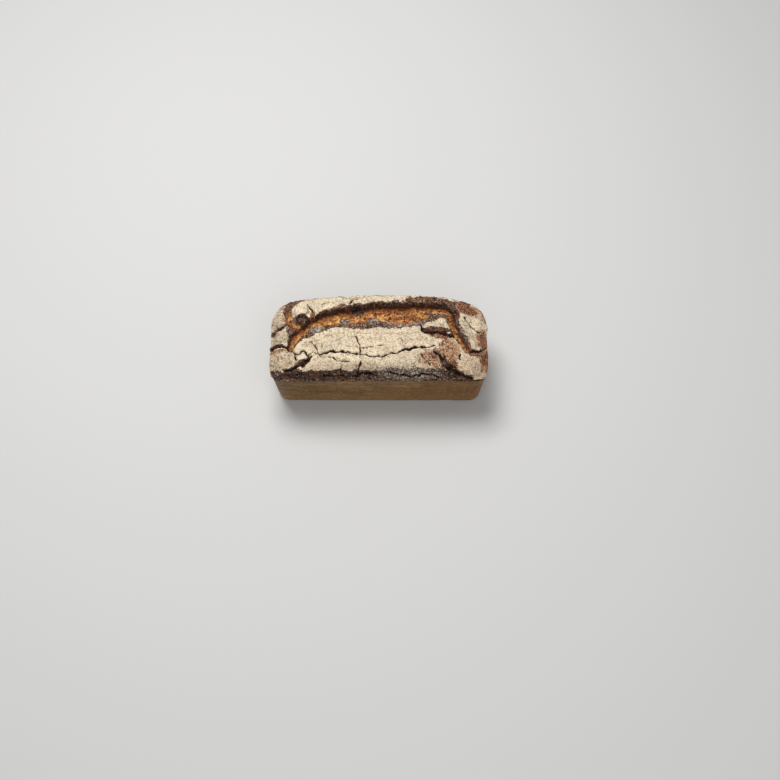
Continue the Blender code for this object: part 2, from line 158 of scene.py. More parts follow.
CRACK_SHARE = 0.85  # a crack's width varies round this share of its own
NARROWEST = 0.6  # and is never less than this share

# A shallow crease along the main plate, as (u, v)
WRINKLE = [
    (-84, -18), (-76, -12), (-61, -7.5), (-45, -4), (-24, -4.5), (-3, -6), (13, -5.5), (32, -5.5),
    (48, -1.5),
]
WRINKLE_DEPTH = 0.3
WRINKLE_WIDTH = 1.3  # half width of its strip of bare crust
WRINKLE_FADE = 0.9
WRINKLE_SHOWN = 0.8  # the strip shows where this plus a random part is above 0
WRINKLE_BARE = 0.5

# Raised plates and lumps: (u, v, half length, half width, turn in degrees, height, edge run)
PLATES = [
    (-89, 28, 9, 9, 10, 6.5, 0.3),  # knob
    (67, 9.5, 19, 9.5, -3, 3.6, 0.4),  # plate beside the rift
    (-21, 27, 7, 6, 0, 3.0, 0.6),  # lump on the back lip
    (101, 2, 7, 24, 20, 2.0, 0.3),  # long plate right of the rift
    (118, 13, 11, 10, 0, 1.4, 0.3),
    (-113, 20, 10, 12, -8, 1.0, 0.3),
    (-110, 0, 9, 8, 12, 1.6, 0.3),
    (-110, -25, 16, 13, 0, 1.4, 0.25),
    (103, -34, 17, 13, -12, 1.6, 0.25),
]
PLATE_POWER = 2.6  # between an ellipse, 2, and a rectangle

# The torn band between the floured top and the tin-baked wall, by depth in from the plan's edge
TEAR_LOW = 3.0
TEAR_HIGH = 14.5
TEAR_RISE = 2.0  # so much higher it reaches along the front, between the next two
RISE_LEFT = 2.0
RISE_RIGHT = 84.0
RISE_RUN = 12.0
RISE_FRONT = 20.0  # whole from this far in front of the middle line
TEAR_LEFT = 106.0  # beyond these it fades out towards the ends
TEAR_RIGHT = 102.0
TEAR_FRONT = -46.0  # but not on the left front corner, in front of this
TEAR_FADE = 9.0
TEAR_LOSS = 0.9  # share of it that is gone at the ends
TEAR_DEPTH = 1.8
TORN_FURTHER = 4.0  # its dark crust reaches this much further towards the ends
TORN_RIM = 1.6  # and lies in a strip this wide along the whole edge
LEDGE_HEIGHT = 0.9  # a slight ledge runs above the band
LEDGE_SPAN = 2.5

# Patches of the crust's look, as (u, v, half length, half width) and often a strength.
# Where the flour lies thin or is rubbed off, and how bare it is there. The weak patches at the left end are
# painted shade there.
BARE_AND_SHADED = [
    (119, -3, 10, 14, 0.88), (122, -27, 9, 19, 0.95), (101, 34, 17, 9, 1.0), (-106, 28, 5, 8, 0.8),
    (72, -4, 15, 4.5, 1.0), (79, -22, 14, 20, 0.76), (61, -31, 17, 13, 0.8), (-118, 5, 8, 4, 0.7),
    (-115, -18, 13, 3.5, 0.8), (-105, 44, 14, 8, 0.7), (113, -46, 14, 8, 0.4), (111, -22, 12, 5, 0.9),
    (40, 50, 30, 5, 0.5), (-87, -36, 9, 3.5, 0.9), (84, -40, 9, 10, 0.95), (124, 32, 8, 12, 0.7),
    (-20, -42, 26, 5, 0.36), (-112, -32, 18, 14, 0.36), (-115, 20, 12, 12, 0.34), (-112, -3, 14, 7, 0.3),
    (104, -36, 18, 14, 0.4), (10, -12, 60, 4, 0.32), (-60, -38, 30, 8, 0.3),
]

# Torn crust away from the rift's own edges, such as under the knob, on the lump and beside the tears
DARK = [
    (-89, 17.5, 9.5, 4.5), (-97, 18, 4, 4), (-39, 11.5, 8, 5), (-7, 12, 8, 5.5), (64, 20.5, 13, 5),
    (-102, 5, 5, 6), (-23, 27, 7.5, 8), (-71, 3, 13, 4.5), (86, -48, 12, 6), (-97, -43, 12, 2.5),
    (68, 2.5, 19, 3), (-122, 6.5, 6, 3.4), (-114, 9.5, 5, 2.6), (-118, -12, 12, 3), (86, 38, 14, 4),
    (112, -18, 9, 1.8), (-117, -46, 14, 6), (82, -2.5, 5.5, 3), (114, -54, 13, 3.5), (102, -20, 5, 3),
]

# Where no crumb shows inside the rift
CLOSED = [
    (-90, 18, 9, 4), (-23, 27, 7.5, 8), (-75, 4, 9, 4.5), (-103, 43, 9, 10), (-39, 12.5, 7, 3.5),
    (-7, 13, 7, 4), (64, 21, 12, 3.5),
]

# Reddish crust without torn edges: beside the knob, at the left end and at the right back corner
SEARED = [(-76, 20.5, 4, 5), (-105, 30, 4, 4), (102, 34, 14, 7)]

# Painted shade on torn crust where it lies under overhangs, under the knob and under the lump, and how dark
# it is
PAINTED_SHADE_SPOTS = [
    (-98, -48, 30, 8, 0.58), (-45, -48, 40, 7, 0.36), (86, -48, 14, 7, 0.55), (-87, 16, 10, 5, 0.45),
    (88, 24, 6, 8, 0.5), (-25, 27, 9, 6, 0.5), (-118, -12, 12, 4, 0.4), (-122, 5, 6, 4, 0.4),
    (60, 20, 14, 4, 0.3), (112, -54, 16, 4, 0.5),
]

# Where dust lies, as light specks on torn crust and as grey on the flour, and how thick. The grey on the
# flour at the left end and in the strip above the front band is painted shade.
DUSTY_AND_SHADED = [
    (-71, 5, 11, 6, 0.95), (32, -48, 40, 9, 0.9), (-50, 22, 20, 6, 0.35), (-39, 10, 12, 6, 0.6),
    (-7, 10, 12, 6, 0.7), (30, 8, 30, 6, 0.7), (64, 20, 14, 6, 0.5), (98, 0, 6, 20, 0.5),
    (-101, 3, 5, 8, 0.4), (20, 35, 60, 3, 0.35), (-114, 20, 14, 16, 0.75), (-112, -3, 14, 10, 0.75),
    (-112, -32, 18, 18, 0.7), (112, -38, 12, 14, 0.4), (-12, -42.5, 74, 3.5, 0.7),
]

# Where patches end and over what run they fade before it, if 0 is a patch's middle and 1 its outline
SPOT_END = 1.45
SPOT_FADE = 1.0
PATCH_END = 1.2
PATCH_FADE = 0.4

# The flour everywhere else
EVEN_DUST = 0.12
RUBBED_FROM = 0.7  # it is rubbed where its random part is above this
RUBBED_FADE = 0.5
RUBBED_BARE = 0.4  # how bare it is there

# Random relief and raggedness: (height, size, seed) of each part
ROUTE_SHAKE_U = [(0.9, 5.0, 11)]
ROUTE_SHAKE_V = [(0.9, 5.0, 12)]
TEAR_WAVER = [(1.6, 16.0, 21)]
TEAR_ROUGH = [(0.5, 6.0, 34)]
FLOOR_ROUGH = [(0.9, 5.5, 33)]
SHAKE_U = [(0.9, 3.1, 51), (0.35, 1.3, 52)]
SHAKE_V = [(0.9, 2.7, 53), (0.35, 1.3, 54)]
CRACK_WIDTH = [(0.5, 5.0, 55), (0.3, 2.2, 56)]
RAGGED = [(2.0, 8.5, 60), (1.5, 3.6, 61), (0.9, 1.6, 62)]
RUBBED = [(1.0, 13.0, 63), (0.5, 4.0, 64)]
DUST_CLOUDS = [(0.25, 9.0, 65)]
BAKED_AND_SHADE_EDGE = [(0.3, 7.0, 66)]
WRINKLE_GAPS = [(1.0, 7.0, 68)]
OVAL_EDGE = [(0.3, 5.0, 41), (0.15, 1.9, 42)]
ROUGH = [(0.7, 21.0, 31), (0.45, 9.0, 32)]
CRAGS = [(0.75, 3.4, 71), (0.6, 1.9, 72), (0.35, 1.1, 73)]
CRUMBLE = [(0.7, 3.0, 76), (0.4, 1.6, 77)]
GRAIN = [(0.14, 3.1, 78), (0.12, 1.3, 79)]
DENTS = [(0.35, 23.0, 81), (0.14, 7.0, 82)]
CREASES = [(0.1, 11.0, 83)]
PITTED = [(1.0, 30.0, 86)]
RIM_SHADOW_WAVER = [(0.9, 4.0, 91), (0.7, 15.0, 92)]

# Peaks of torn crust that stand out into the rift along its inner edge
PEAK_SIZE = 8.5
PEAK_SEED = 67
PEAK_REACH = 4.5
PEAK_SHARE = 0.45  # round a centre, up to this share of the size
OUTER_EDGE = 0.9  # the crumb ends this far beyond the rift's half width
INNER_EDGE = 0.2
CRUMB_DEPTH = 2.2  # depth of a rift from which its crumb shows fully
SHADE_DEPTH = 6.0  # and from which the painted shade at the foot of its outer wall is darkest
SHADE_STRENGTH = 0.6  # how dark that painted shade is

# Scattered holes: (size, seed, share of the size that a hole reaches round its centre, depth)
CRUMB_HOLES = [(4.2, 74, 0.42, 3.6), (2.3, 75, 0.4, 1.9)]
WALL_PITS = [(5.5, 84, 0.16, 4.0), (3.1, 85, 0.12, 3.0)]

# Mesh
SURFACE_STEP = 0.84
LINE_STEP = 2.4  # spacing along each route, as in the solid
ROW_STEP = 0.35  # spacing along each crack's rows, in steps of its route
CLOSEST = 0.35  # points of the rows nearer than this to an earlier one are left out
FILL_GAP = 0.55  # the fill keeps this share of its step away from the rows
EDGE_GAP = 0.6  # no point but the rim's lies nearer the plan's edge
RIM_STEP = 1.35
WALL_RINGS = 44
FOOT_STEPS = [1, 0.62, 0.34, 0.14, 0.03, 0]  # heights of the rings round the lower edge, in foot radii
BASE_RINGS = 5
WALL_INSET = 0.2  # the wall lies this much inside the solid's, so that its dents stay within
DENTS_FROM_RIM = 4.0  # the wall's dents are whole from this far below the rim
DENTS_FROM_BASE = 3.0  # down to this far above the base
CREASE_SQUASH = 4.0  # its creases are this many times as long as they are high
PITS_SHOWN = 0.6  # its pits show where this plus a random part is above 0
RIM_SHADOW_REACH = 1.3  # how far the torn crust's colour reaches down over the wall, a painted shadow under the overhanging crust
RIM_SHADOW_EDGE = 1.6
EDGE_SPAN = 4.0  # run over which a layer's share rises from 0 to 1; its edge lies halfway
HALVINGS = 40  # of the range in which an outline's point is searched

# Lights: (name, place, size, power, tint), and the even light from all round
LIGHTS = [
    ("window", (-0.30, 0.50, 1.50), 0.8, 21, (1.0, 1.0, 0.99)),
    ("front_fill", (0.25, -1.1, 1.4), 1.4, 6.5, (0.98, 0.99, 1.0)),
]
WORLD_COLOUR = (0.95, 0.97, 1.0, 1)
WORLD_STRENGTH = 0.26
FLOOR_SIZE = 8.0
FLOOR_DROP = 0.0002


def smooth(x):
    """An even S from 0 to 1."""
    x = np.clip(x, 0, 1)
    return x * x * (3 - 2 * x)


def rumple(u, v, size, seed):
    """Smooth random bumps from -1 to 1, about `size` apart."""
    cells = 128
    lattice = np.random.default_rng(seed).uniform(-1, 1, (cells, cells))
    x = u / size + cells / 2
    y = v / size + cells / 2
    i = np.floor(x).astype(int)
    j = np.floor(y).astype(int)
    fx = smooth(x - i)
    fy = smooth(y - j)
    i0, i1, j0, j1 = i % cells, (i + 1) % cells, j % cells, (j + 1) % cells
    low = lattice[i0, j0] * (1 - fx) + lattice[i1, j0] * fx
    high = lattice[i0, j1] * (1 - fx) + lattice[i1, j1] * fx
    return low * (1 - fy) + high * fy


def pores(u, v, size, seed):
    """Distance to the nearest of scattered centres about `size` apart, as a share of `size`."""
    cells = 256
    shifts = np.random.default_rng(seed).uniform(0.1, 0.9, (cells, cells, 2))
    x = u / size + cells / 2
    y = v / size + cells / 2
    i = np.floor(x).astype(int)
    j = np.floor(y).astype(int)
    best = np.full(u.shape, 9.0)
    for a in (-1, 0, 1):
        for b in (-1, 0, 1):
            shift = shifts[(i + a) % cells, (j + b) % cells]
            best = np.minimum(best, np.hypot(i + a + shift[..., 0] - x, j + b + shift[..., 1] - y))
    return best


def waves(u, v, parts, start=0.0):
    """Random bumps of several sizes, added up onto a start."""
    return sum((height * rumple(u, v, size, seed) for height, size, seed in parts), start)


def holes(u, v, parts):
    """Scattered round holes of several sizes, as depths below zero."""
    return sum(np.minimum(pores(u, v, size, seed) - reach, 0) * depth for size, seed, reach, depth in parts)


def shaken(u, v):
    """A slightly shaken plan, from which edges are read so that they come out ragged."""
    return waves(u, v, SHAKE_U, u), waves(u, v, SHAKE_V, v)


def unshaken(points):
    """Where places of the shaken plan lie in the plan itself, closely enough."""
    found = points.copy()
    for _ in range(8):
        found += 0.6 * (points - np.stack(shaken(found[:, 0], found[:, 1]), -1))
    return found


def edge_depth(u, v):
    """Distance in from the plan's outline, a rectangle with blended corners."""
    a = HALF_U - np.abs(u)
    b = HALF_V - np.abs(v)
    corner = FRONT_CORNER + (BACK_CORNER - FRONT_CORNER) * smooth(v / HALF_V + 0.5)
    blend = np.clip(corner - np.abs(a - b), 0, None) / corner
    return np.minimum(a, b) - blend * blend * corner / 4


def outward(u, v):
    """Unit direction in the plan that leads straight out over the edge."""
    e = 0.01
    gu = edge_depth(u - e, v) - edge_depth(u + e, v)
    gv = edge_depth(u, v - e) - edge_depth(u, v + e)
    length = np.hypot(gu, gv) + 1e-9
    return gu / length, gv / length


def crown(u, v):
    """Height of the risen top above the rim, without its relief."""
    along = np.clip(1 - np.abs((u - CROWN_SHIFT) / HALF_U) ** CROWN_POWER, 0, 1)
    back_share = np.clip((v / HALF_V + 1) / 2, 0, 1)
    across = np.clip(1 - (v / HALF_V) ** 2, 0, 1)
    swell = CROWN_FRONT + (CROWN_BACK - CROWN_FRONT) * back_share + CROWN_ARCH * across
    return CROWN_END + swell * along


def base_surface(u, v):
    """The risen top without relief: its points and the directions it faces."""
    depth = edge_depth(u, v)
    turn = np.clip(depth / SHOULDER_SPAN, 0, 1)
    angle = turn * math.pi / 2
    nu, nv = outward(u, v)
    run = (SHOULDER_SPAN - SHOULDER_EXTRA) * (1 - np.cos(angle))
    run = run - SHOULDER_BULGE * np.sin(math.pi * turn) * (1 - turn)
    shift = np.where(depth < SHOULDER_SPAN, depth - SHOULDER_EXTRA - run, 0.0)
    point = np.stack([u + nu * shift, v + nv * shift, RIM_HEIGHT + crown(u, v) * np.sin(angle)], -1)
    facing = np.stack([nu * np.cos(angle), nv * np.cos(angle), np.sin(angle)], -1)
    return point, facing


def densify(route, step):
    """A smooth, slightly ragged line through a route's points, as rows of numbers."""
    route = np.array(route, float)
    padded = np.vstack([2 * route[0] - route[1], route, 2 * route[-1] - route[-2]])
    rows = []
    for k in range(1, len(padded) - 2):
        p0, p1, p2, p3 = padded[k - 1:k + 3]
        count = max(1, round(math.dist(p1[:2], p2[:2]) / step))
        for t in np.arange(count) / count:
            rows.append(0.5 * (2 * p1 + (p2 - p0) * t + (2 * p0 - 5 * p1 + 4 * p2 - p3) * t * t
                               + (3 * p1 - p0 - 3 * p2 + p3) * t ** 3))
    rows.append(route[-1])
    rows = np.array(rows)
    inner = slice(1, -1)
    rows[inner, 0] = waves(rows[inner, 0], rows[inner, 1], ROUTE_SHAKE_U, rows[inner, 0])
    rows[inner, 1] = waves(rows[inner, 0], rows[inner, 1], ROUTE_SHAKE_V, rows[inner, 1])
    return rows


def nearest(line, u, v):
    """For each (u, v): signed distance to the line, positive on its left, and the line's values there."""
    best = np.full(u.shape, 1e9)
    side = np.zeros(u.shape)
    values = np.zeros(u.shape + (line.shape[1] - 2,))
    for a, b in zip(line[:-1], line[1:]):
        du, dv = b[:2] - a[:2]
        t = np.clip(((u - a[0]) * du + (v - a[1]) * dv) / (du * du + dv * dv), 0, 1)
        away_u = u - a[0] - t * du
        away_v = v - a[1] - t * dv
        distance = np.hypot(away_u, away_v)
        closer = distance < best
        best = np.where(closer, distance, best)
        side = np.where(closer, np.sign(du * away_v - dv * away_u), side)
        here = a[2:] + t[..., None] * (b[2:] - a[2:])
        values = np.where(closer[..., None], here, values)
    return best * np.where(side < 0, -1, 1), values


def rift_profile(s, values):
    """Relief of a rift: a floor that deepens outwards, a steep outer wall, a gentle inner edge."""
    half, depth = values[..., 0], values[..., 1]
    beyond = np.abs(s) - half
    across = np.clip((s + half) / (2 * half), 0, 1)
    floor = -depth * (RIFT_SHALLOW + (1 - RIFT_SHALLOW) * smooth(across))
    strength = np.clip(depth / FULL_DEPTH, 0, 1)
    sides = []
    for rise, lip, run, fade in ((depth, OUTER_LIP, RIFT_WALL, OUTER_FADE),
                                 (RIFT_SHALLOW * depth, INNER_LIP, RIFT_SILL, INNER_FADE)):
        wall = floor + (rise + lip * strength) * smooth(beyond / run)
        edge = lip * strength * np.exp(-((beyond - run) / fade) ** 2)
        sides.append(np.where(beyond > run, edge, wall))
    outer, inner = sides
    return np.where(beyond <= 0, floor, np.where(s > 0, outer, inner))


def crack_profile(s, half):
    """Relief of a crack: a round-bottomed cut between two slightly curled edges."""
    ratio = np.abs(s) / half
    cut = -CRACK_DEPTH * half * np.clip(1 - ratio * ratio, 0, 1)
    curl = CRACK_CURL * np.clip(half, 0, FULL_CURL) * np.exp(-((np.abs(s) - half) / CURL_SPAN) ** 2)
    return np.where(ratio < 1, cut, curl * smooth(ratio - 1))


def plate_profile(plate, u, v):
    """Relief of a raised plate with a steep edge and a nearly flat top."""
    pu, pv, length, width, turn, height, run = plate
    c, s = math.cos(math.radians(turn)), math.sin(math.radians(turn))
    x = ((u - pu) * c + (v - pv) * s) / length
    y = ((v - pv) * c - (u - pu) * s) / width
    inside = 1 - (np.abs(x) ** PLATE_POWER + np.abs(y) ** PLATE_POWER) ** (1 / PLATE_POWER)
    return height * smooth(inside / run) * (0.8 + 0.2 * np.clip(inside, 0, 1))


def tear_top(u, v):
    """Depth in from the plan's edge up to which the shoulder is torn."""
    risen = smooth((u - RISE_LEFT) / RISE_RUN) * smooth((RISE_RIGHT - u) / RISE_RUN) * smooth(-v / RISE_FRONT)
    return TEAR_HIGH + TEAR_RISE * risen


def torn_depth(u, v):
    """Depth in from the plan's edge, as the torn band's wandering edges follow it."""
    return waves(u, v, TEAR_WAVER, edge_depth(u, v))


def tear_band(u, v):
    """How far a place lies in the torn band of the shoulder, from 0 to 1: weak at both ends."""
    depth = torn_depth(u, v)
    left_end = smooth((-u - TEAR_LEFT) / TEAR_FADE) * smooth((v - TEAR_FRONT) / TEAR_FADE)
    right_end = smooth((u - TEAR_RIGHT) / TEAR_FADE)
    share = 1 - TEAR_LOSS * np.maximum(left_end, right_end)
    return smooth((depth - TEAR_LOW) / 3) * smooth((tear_top(u, v) - depth) / 2.2) * share


def torn_reach(u, v):
    """How far inside the torn strips along the plan's edge a place lies, in mm."""
    depth = torn_depth(u, v)
    left_end = np.maximum(u + TEAR_LEFT + TORN_FURTHER, TEAR_FRONT + 2 - v)
    band = np.minimum(np.minimum(tear_top(u, v) + 1 - depth, left_end), TEAR_RIGHT + TORN_FURTHER - u)
    return np.maximum(band, TORN_RIM - depth)


def oval(place, u, v):
    """0 in the middle of an oval patch and 1 at its ragged edge."""
    pu, pv, length, width = place[:4]
    return waves(u, v, OVAL_EDGE, np.hypot((u - pu) / length, (v - pv) / width))


def spot(place, u, v):
    """Strength of an oval patch that fades out at its edge."""
    return place[4] * smooth((SPOT_END - oval(place, u, v)) / SPOT_FADE)


def patch(place, u, v):
    """1 inside an oval patch and 0 outside it, with a narrow edge."""
    return smooth((PATCH_END - oval(place, u, v)) / PATCH_FADE)


def share_of(reach):
    """A layer's share where a place lies `reach` mm inside its edge."""
    return np.clip(0.5 + reach / EDGE_SPAN, 0, 1)


class Crust:
    """The top crust at many places of the plan: its points and the layers that show there."""

    def __init__(self, u, v):
        self.u, self.v = u, v
        shaken_u, shaken_v = shaken(u, v)
        self.rifts = [(line, *nearest(line, shaken_u, shaken_v)) for line in RIFT_LINES]
        self.cracks = [nearest(line, shaken_u, shaken_v) for line in CRACK_LINES]
        for _, values in self.cracks:
            values[:, 0] *= np.maximum(NARROWEST, waves(u, v, CRACK_WIDTH, CRACK_SHARE))
        self.off_wrinkle = np.abs(nearest(WRINKLE_LINE, shaken_u, shaken_v)[0])
        self.depth = edge_depth(u, v)
        self.tear = tear_band(u, v)
        self.find_layers()
        self.find_relief()
        point, facing = base_surface(u, v)
        self.points = point + facing * self.height[:, None]
        self.points[:, :2] += np.stack(self.lean(), -1)

    def find_layers(self):
        """Shares of torn crust, crumb, bare crust and dust, how baked the crumb is, and the painted shade;
        bare, dust and baked also hold some painted shade.
        """
        self.ragged = waves(self.u, self.v, RAGGED)
        self.char = share_of(torn_reach(self.u, self.v) + 0.5 * self.ragged)
        self.crumb, self.baked_and_shade, self.painted_shade, self.bare = (np.zeros(self.u.shape) for _ in range(4))
        for _, s, values in self.rifts:
            self.add_rift(s, values)
        for s, values in self.cracks:
            self.add_crack(s, values[:, 0])
        shown = smooth(waves(self.u, self.v, WRINKLE_GAPS, WRINKLE_SHOWN))
        wrinkle = smooth((WRINKLE_WIDTH - self.off_wrinkle) / WRINKLE_FADE) * shown
        self.bare = np.maximum(self.bare, WRINKLE_BARE * wrinkle)
        self.add_patches()

    def add_rift(self, s, values):
        """A rift's layers: crumb on its floor, dark torn crust at its edges, crumb darker towards the outer
        lip (partly painted shadow), and painted shade under the lip.
        """
        u, v = self.u, self.v
        half, depth, inner_dark, outer_dark = (values[:, k] for k in range(4))
        beyond = np.abs(s) - half
        outer_side = s > 0
        peaks = PEAK_REACH * (PEAK_SHARE - pores(u, v, PEAK_SIZE, PEAK_SEED))
        inner_dark = inner_dark + 0.4 * self.ragged + 0.7 * peaks
        outer_dark = outer_dark + 0.5 * self.ragged
        self.char = np.maximum(self.char, share_of(np.where(outer_side, outer_dark, inner_dark) - beyond))
        outer_edge = OUTER_EDGE + 0.3 * self.ragged
        inner_edge = INNER_EDGE + (0.6 * self.ragged - 0.5 * peaks) * smooth(half / 6)
        edge = np.where(outer_side, outer_edge, inner_edge)
        self.crumb = np.maximum(self.crumb, share_of(edge - beyond) * smooth(depth / CRUMB_DEPTH))
        # The crumb darkens towards the outer lip: partly its more baked crust, partly painted shadow of the
        # lip
        across = waves(u, v, BAKED_AND_SHADE_EDGE, s / half)
        self.baked_and_shade = np.maximum(self.baked_and_shade, smooth((across + 0.1) / 0.9) * (beyond < 3))
        # Painted shade at the foot of the outer wall, under the lip
        shade = smooth(1.2 - np.abs(beyond - 0.6) / 1.8) * outer_side * smooth(depth / SHADE_DEPTH)
        self.painted_shade = np.maximum(self.painted_shade, SHADE_STRENGTH * shade)

    def add_crack(self, s, half):
        """A crack's layers: painted shade in its cut, bare crust along its edges and inside an open tear."""
        beyond = np.abs(s) - half
        wide = smooth((half - OPEN_TEAR) / 0.8)
        cut = smooth((half - np.abs(s)) / (0.5 * half))
        rim = smooth((1 + 0.4 * self.ragged + wide - beyond) / 1.4)
        self.char = np.maximum(self.char, share_of(np.minimum(-0.1, 0.6 * half - 0.6) - beyond))
        # Painted shade in the crack's cut, less in an open tear
        self.painted_shade = np.maximum(self.painted_shade, cut * (1 - 0.7 * wide))
        self.bare = np.maximum(self.bare, rim * (0.3 + 0.6 * wide))

    def add_patches(self):
        """What the named patches change, painted shade among them, and the flour's own worn places and dust.
        """
        u, v = self.u, self.v
        # Spots of painted shade on the torn crust
        for place in PAINTED_SHADE_SPOTS:
            self.painted_shade = np.maximum(self.painted_shade, spot(place, u, v))
        for place in DARK:
            self.char = np.maximum(self.char, share_of((1 - oval(place, u, v)) * min(place[2:4])))
        # Bare crust, and weak patches of painted shade at the left end
        for place in BARE_AND_SHADED:
            self.bare = np.maximum(self.bare, spot(place, u, v))
        rubbed = smooth((waves(u, v, RUBBED) - RUBBED_FROM) / RUBBED_FADE)
        self.bare = np.maximum(self.bare, RUBBED_BARE * rubbed)
        dust_and_shade = waves(u, v, DUST_CLOUDS, EVEN_DUST)
        # Dust on torn crust, and painted shade on the flour at the left end and above the front band
        for place in DUSTY_AND_SHADED:
            dust_and_shade = np.maximum(dust_and_shade, spot(place, u, v))
        for place in CLOSED:
            self.crumb = self.crumb * (1 - patch(place, u, v))
        for place in SEARED:
            inside = patch(place, u, v)
            self.char = self.char * (1 - inside)
            self.bare = np.maximum(self.bare, inside)
        self.dust_and_shade = np.clip(dust_and_shade * (1 - self.painted_shade), 0, 1)
        self.bare = np.clip(self.bare, 0, 1)
        self.baked_and_shade = np.clip(self.baked_and_shade, 0, 1)
        self.painted_shade = np.clip(self.painted_shade, 0, 1)

    def find_relief(self):
        """Height of everything that stands on or cuts into the risen top."""
        u, v = self.u, self.v
        profiles = [rift_profile(s, values) for _, s, values in self.rifts]
        profiles += [crack_profile(s, values[:, 0]) for s, values in self.cracks]
        cut = np.zeros(u.shape)
        raised = np.zeros(u.shape)
        uncut = np.ones(u.shape)
        for height in profiles:
            cut = np.minimum(cut, height)
            raised = np.maximum(raised, height)
            uncut *= 1 - np.clip(-height, 0, 1)
        plates = np.max([plate_profile(plate, u, v) for plate in PLATES], axis=0)
        floor_rough = waves(u, v, FLOOR_ROUGH) * np.clip(-cut / ROUGH_DEPTH, 0, 1)
        rough = waves(u, v, ROUGH) + floor_rough
        torn = TEAR_DEPTH * self.tear * waves(u, v, TEAR_ROUGH, 1)
        ledge = LEDGE_HEIGHT * np.exp(-((self.depth - TEAR_HIGH - LEDGE_SPAN) / LEDGE_SPAN) ** 2)
        height = cut + raised * uncut + plates * uncut + rough - torn + ledge * uncut
        self.height = (height + self.fine_relief()) * smooth(self.depth / RELIEF_RUN)

    def fine_relief(self):
        """Crags of the torn crust, pores of the crumb and the grain of the floured crust."""
        u, v = self.u, self.v
        crags = waves(u, v, CRAGS)
        crumb = waves(u, v, CRUMBLE) + holes(u, v, CRUMB_HOLES)
        grain = waves(u, v, GRAIN) - WRINKLE_DEPTH * smooth((1 - self.off_wrinkle) / 0.8)
        crumb_share = smooth(2 * self.crumb - 0.6)
        char_share = smooth(2 * self.char - 0.6) * (1 - crumb_share)
        return crags * char_share + crumb * crumb_share + grain

    def lean(self):
        """Sideways push, in the plan, of the rift's outer lip over its floor."""
        push_u = np.zeros(self.u.shape)
        push_v = np.zeros(self.u.shape)
        e = 0.5
        for line, s, values in self.rifts:
            beyond = s - values[:, 0]
            strength = np.clip(values[:, 1] / LEAN_DEPTH, 0, 1)
            amount = LIP_LEAN * strength * np.exp(-((beyond - RIFT_WALL) / LEAN_SPAN) ** 2)
            ahead_u = nearest(line, self.u + e, self.v)[0] - nearest(line, self.u - e, self.v)[0]
            ahead_v = nearest(line, self.u, self.v + e)[0] - nearest(line, self.u, self.v - e)[0]
            length = np.hypot(ahead_u, ahead_v) + 1e-9
            known = length < 4 * e
            push_u -= np.where(known, amount * ahead_u / length, 0)
            push_v -= np.where(known, amount * ahead_v / length, 0)
        return push_u, push_v


def outline(depth, step):
    """Points in the plan along the line that lies `depth` in from its edge."""
    count = int(2 * math.pi * HALF_U)
    angle = np.arange(count) / count * 2 * math.pi
    c, s = np.cos(angle), np.sin(angle)
    low = np.zeros(count)
    high = np.full(count, HALF_U + HALF_V)
    for _ in range(HALVINGS):
        middle = (low + high) / 2
        inside = edge_depth(middle * c, middle * s) > depth
        low = np.where(inside, middle, low)
        high = np.where(inside, high, middle)
    ring = np.stack([low * c, low * s], -1)
    gaps = np.linalg.norm(np.roll(ring, -1, axis=0) - ring, axis=1)
    travelled = np.concatenate([[0], np.cumsum(gaps)])
    closed = np.vstack([ring, ring[:1]])
    count = round(travelled[-1] / step)
    places = np.arange(count) / count * travelled[-1]
    return np.stack([np.interp(places, travelled, closed[:, k]) for k in (0, 1)], -1)


def beside(line, offsets):
    """Rows of points that run along a line, each at its own distance to the line's left."""
    along = np.gradient(line[:, :2], axis=0)
    along /= np.linalg.norm(along, axis=1, keepdims=True)
    left = np.stack([-along[:, 1], along[:, 0]], -1)
    return [line[:, :2] + left * offset for offset in offsets]


def plan_points():
    """Corners of the top's facets: the rim, rows along the cracks, then an even fill."""
    rim = outline(0.0, RIM_STEP)
    rows = []
    for line in CRACK_LINES:
        fine = np.stack([np.interp(np.arange(0, len(line) - 1, ROW_STEP), np.arange(len(line)), line[:, k])
                         for k in range(3)], -1)
        half = fine[:, 2:3]
        rows += beside(fine, [0 * half, half, -half])
    rows = unshaken(np.vstack(rows))
    rows = rows[edge_depth(rows[:, 0], rows[:, 1]) > EDGE_GAP]
    fill = []
    for row, v in enumerate(np.arange(-HALF_V, HALF_V, SURFACE_STEP * math.sqrt(3) / 2)):
        u = np.arange(-HALF_U, HALF_U, SURFACE_STEP) + (row % 2) * SURFACE_STEP / 2
        fill.append(np.stack([u, np.full(u.shape, v)], -1))
    fill = np.vstack(fill)
    fill = fill[edge_depth(fill[:, 0], fill[:, 1]) > EDGE_GAP]
    kept = thin(rows, CLOSEST)
    return np.vstack([rim, kept, away_from(kept, fill, FILL_GAP * SURFACE_STEP)])


def tree_of(points):
    """A tree of points in the plan that finds their neighbours."""
    tree = kdtree.KDTree(len(points))
    for k, (u, v) in enumerate(points):
        tree.insert((u, v, 0), k)
    tree.balance()
    return tree


def thin(points, closest):
    """Drops each point that lies nearer than `closest` to an earlier one."""
    tree = tree_of(points)
    keep = np.ones(len(points), bool)
    for k, (u, v) in enumerate(points):
        if keep[k]:
            for _, other, _ in tree.find_range((u, v, 0), closest):
                if other > k:
                    keep[other] = False
    return points[keep]


def away_from(others, points, closest):
    """The points that lie further than `closest` from all the others."""
    tree = tree_of(others)
    return points[[tree.find((u, v, 0))[2] > closest for u, v in points]]


